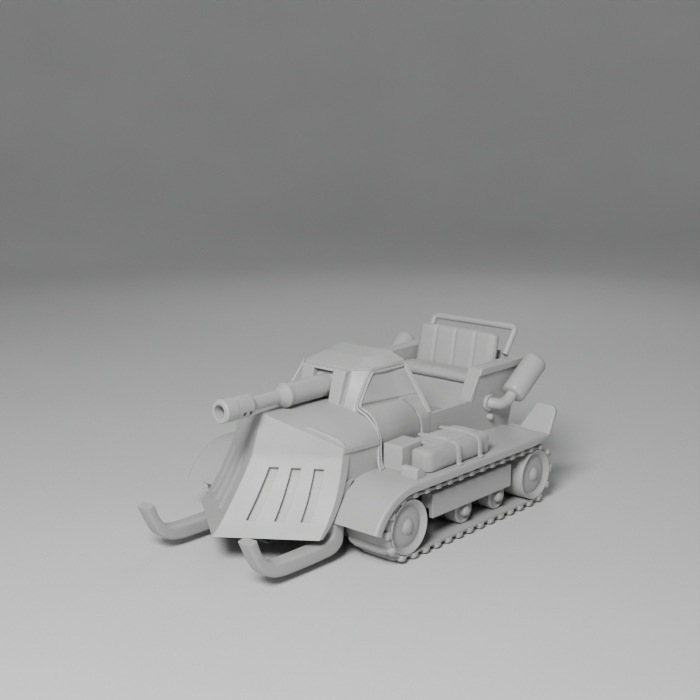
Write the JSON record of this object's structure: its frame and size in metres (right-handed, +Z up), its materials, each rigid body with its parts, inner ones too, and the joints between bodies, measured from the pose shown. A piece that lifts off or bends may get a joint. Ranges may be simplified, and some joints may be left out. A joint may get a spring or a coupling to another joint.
{
  "type": "rc tank",
  "caption": "Tracked radio-controlled snow vehicle with cab gun, V plough, steering skis, dished wheels, canvas bags and an open rear seat bay.",
  "frame": {"origin": "on the ground, under the middle of the outer box", "axes": "+Z up, the nose faces -Y, the vehicle's left side is +X"},
  "size_m": [0.2, 0.3362, 0.1389],
  "materials": {
    "body_paint": "satin moulded plastic, pale neutral grey",
    "bar_grey": "satin moulded plastic, pale grey",
    "wheel_plastic": "satin moulded plastic, pale grey",
    "track_rubber": "matt rubber, pale grey",
    "seat_vinyl": "soft matt vinyl, pale grey",
    "bag_canvas": "matt woven cloth, pale grey",
    "strap_webbing": "matt webbing, pale grey",
    "chassis_black": "matt moulded plastic, near black",
    "housing_plastic": "matt moulded plastic, black",
    "switch_grey": "matt nylon, off-white",
    "steel": "bright zinc-plated steel",
    "brass": "turned brass",
    "battery_wrap": "heat-shrink film, blue",
    "board_green": "solder mask, green"
  },
  "bodies": {
    "hull": {"chassis_tub": "chassis_black", "battery_cover": "chassis_black", "axle_pins": "steel", "axle_bushings": "brass", "gearbox_housing": "housing_plastic", "battery_pack": "battery_wrap", "control_board": "board_green", "power_switch": "housing_plastic", "steering_servo": "housing_plastic", "king_pins": "steel", "body_shell": "body_paint", "cab_roof": "body_paint", "gun_housing": "body_paint", "gun_pin": "steel", "plough_blade": "body_paint", "seat_cushion": "seat_vinyl", "seat_backrest": "seat_vinyl", "roll_bar": "bar_grey", "body_screws": "steel", "track_left": "track_rubber", "motor_left": "steel", "door_left": "body_paint", "fender_left": "body_paint", "side_beam_left": "body_paint", "exhaust_pipe_left": "bar_grey", "muffler_left": "bar_grey", "storage_bag_left": "bag_canvas", "step_box_left": "body_paint", "track_right": "track_rubber", "motor_right": "steel", "door_right": "body_paint", "fender_right": "body_paint", "side_beam_right": "body_paint", "exhaust_pipe_right": "bar_grey", "muffler_right": "bar_grey", "storage_bag_right": "bag_canvas", "step_box_right": "body_paint", "bag_straps": "strap_webbing", "fender_blocks": "body_paint"},
    "drive_left": {"drive_wheel_left": "wheel_plastic", "drive_axle_left": "steel", "drive_gear_left": "switch_grey"},
    "pinion_left": {"motor_pinion_left": "brass"},
    "idler_left": {"idler_wheel_left": "wheel_plastic"},
    "road_front_left": {"road_wheel_front_left": "wheel_plastic"},
    "road_rear_left": {"road_wheel_rear_left": "wheel_plastic"},
    "ski_body_left": {"ski_left": "wheel_plastic"},
    "drive_right": {"drive_wheel_right": "wheel_plastic", "drive_axle_right": "steel", "drive_gear_right": "switch_grey"},
    "pinion_right": {"motor_pinion_right": "brass"},
    "idler_right": {"idler_wheel_right": "wheel_plastic"},
    "road_front_right": {"road_wheel_front_right": "wheel_plastic"},
    "road_rear_right": {"road_wheel_rear_right": "wheel_plastic"},
    "ski_body_right": {"ski_right": "wheel_plastic"},
    "gun": {"gun_barrel": "body_paint", "muzzle_brake": "body_paint"},
    "horn": {"servo_horn": "switch_grey"},
    "rack": {"steering_rack": "switch_grey"},
    "slider": {"switch_slider": "switch_grey"}
  },
  "joints": [
    {"name": "drive_left_spin", "type": "hinge", "parent": "hull", "child": "drive_left", "pos_m": [0.075, 0.1198, 0.0266], "axis": [1, 0, 0], "continuous": true},
    {"name": "motor_pinion_left_spin", "type": "hinge", "parent": "hull", "child": "pinion_left", "pos_m": [0.04, 0.1053, 0.0266], "axis": [1, 0, 0], "continuous": true},
    {"name": "idler_left_spin", "type": "hinge", "parent": "hull", "child": "idler_left", "pos_m": [0.075, -0.0448, 0.0266], "axis": [1, 0, 0], "continuous": true},
    {"name": "road_front_left_spin", "type": "hinge", "parent": "hull", "child": "road_front_left", "pos_m": [0.072, 0.0338, 0.0166], "axis": [1, 0, 0], "continuous": true},
    {"name": "road_rear_left_spin", "type": "hinge", "parent": "hull", "child": "road_rear_left", "pos_m": [0.072, 0.0782, 0.0166], "axis": [1, 0, 0], "continuous": true},
    {"name": "drive_right_spin", "type": "hinge", "parent": "hull", "child": "drive_right", "pos_m": [-0.075, 0.1198, 0.0266], "axis": [1, 0, 0], "continuous": true},
    {"name": "motor_pinion_right_spin", "type": "hinge", "parent": "hull", "child": "pinion_right", "pos_m": [-0.04, 0.1053, 0.0266], "axis": [1, 0, 0], "continuous": true},
    {"name": "idler_right_spin", "type": "hinge", "parent": "hull", "child": "idler_right", "pos_m": [-0.075, -0.0448, 0.0266], "axis": [1, 0, 0], "continuous": true},
    {"name": "road_front_right_spin", "type": "hinge", "parent": "hull", "child": "road_front_right", "pos_m": [-0.072, 0.0338, 0.0166], "axis": [1, 0, 0], "continuous": true},
    {"name": "road_rear_right_spin", "type": "hinge", "parent": "hull", "child": "road_rear_right", "pos_m": [-0.072, 0.0782, 0.0166], "axis": [1, 0, 0], "continuous": true},
    {"name": "ski_left_steer", "type": "hinge", "parent": "hull", "child": "ski_body_left", "pos_m": [0.0514, -0.079, 0.027], "axis": [0, 0, 1], "range_deg": [-12, 12]},
    {"name": "ski_right_steer", "type": "hinge", "parent": "hull", "child": "ski_body_right", "pos_m": [-0.0514, -0.079, 0.027], "axis": [0, 0, 1], "range_deg": [-12, 12]},
    {"name": "steering_rack_slide", "type": "slide", "parent": "hull", "child": "rack", "axis": [1, 0, 0], "range_m": [-0.0022, 0.0022]},
    {"name": "servo_horn_turn", "type": "hinge", "parent": "hull", "child": "horn", "pos_m": [0, -0.081, 0.033], "axis": [0, 0, 1], "range_deg": [-10.5, 10.5]},
    {"name": "gun_elevation", "type": "hinge", "parent": "hull", "child": "gun", "pos_m": [0, -0.016, 0.1142], "axis": [-1, 0, 0], "range_deg": [0, 10]},
    {"name": "power_switch_slide", "type": "slide", "parent": "hull", "child": "slider", "axis": [1, 0, 0], "range_m": [0, 0.005]}
  ],
  "couplings": [
    {"joint": "motor_pinion_left_spin", "follows": "drive_left_spin", "ratio": -2.6},
    {"joint": "idler_left_spin", "follows": "drive_left_spin", "ratio": 1},
    {"joint": "road_front_left_spin", "follows": "drive_left_spin", "ratio": 1.934},
    {"joint": "road_rear_left_spin", "follows": "drive_left_spin", "ratio": 1.934},
    {"joint": "motor_pinion_right_spin", "follows": "drive_right_spin", "ratio": -2.6},
    {"joint": "idler_right_spin", "follows": "drive_right_spin", "ratio": 1},
    {"joint": "road_front_right_spin", "follows": "drive_right_spin", "ratio": 1.934},
    {"joint": "road_rear_right_spin", "follows": "drive_right_spin", "ratio": 1.934},
    {"joint": "ski_right_steer", "follows": "ski_left_steer", "ratio": 1},
    {"joint": "steering_rack_slide", "follows": "ski_left_steer", "m_per_rad": -0.01},
    {"joint": "servo_horn_turn", "follows": "ski_left_steer", "ratio": 0.8333}
  ]
}
